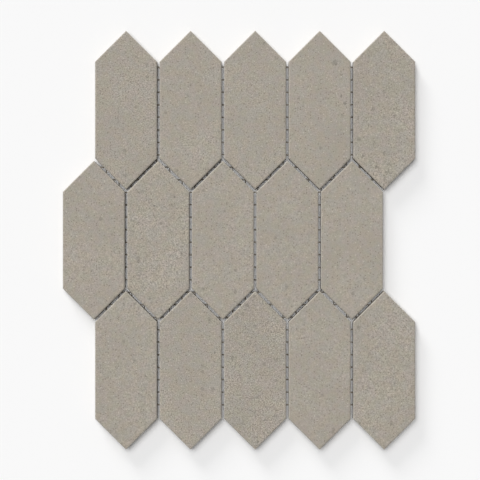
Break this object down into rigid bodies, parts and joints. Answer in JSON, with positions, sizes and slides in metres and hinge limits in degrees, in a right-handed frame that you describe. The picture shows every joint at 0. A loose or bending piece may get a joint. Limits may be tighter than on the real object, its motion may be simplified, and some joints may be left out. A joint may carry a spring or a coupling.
{
  "type": "mesh-mounted picket tile sheet",
  "caption": "Sheet of long pointed hexagonal picket tiles with matte concrete-look faces, laid in interlocking offset rows with open joints on a flexible backing mesh.",
  "frame": {"origin": "middle of the sheet's underside, under the centre of its bounding box", "axes": "+Z out of the tile faces, +Y along the tiles' long sides, +X across the rows"},
  "size_m": [0.2774, 0.3298, 0.0098],
  "materials": {
    "porcelain": "matte, warm grey concrete look with fine sandy speckle and small pits",
    "mesh": "coated glass-fibre yarn, dull"
  },
  "bodies": {
    "root": {"tile_r1_c1": "porcelain", "tile_r1_c2": "porcelain", "tile_r1_c3": "porcelain", "tile_r1_c4": "porcelain", "tile_r1_c5": "porcelain", "tile_r2_c1": "porcelain", "tile_r2_c2": "porcelain", "tile_r2_c3": "porcelain", "tile_r2_c4": "porcelain", "tile_r2_c5": "porcelain", "tile_r3_c1": "porcelain", "tile_r3_c2": "porcelain", "tile_r3_c3": "porcelain", "tile_r3_c4": "porcelain", "tile_r3_c5": "porcelain", "backing_mesh_upper": "mesh", "backing_mesh_middle": "mesh", "backing_mesh_lower": "mesh"}
  },
  "joints": []
}
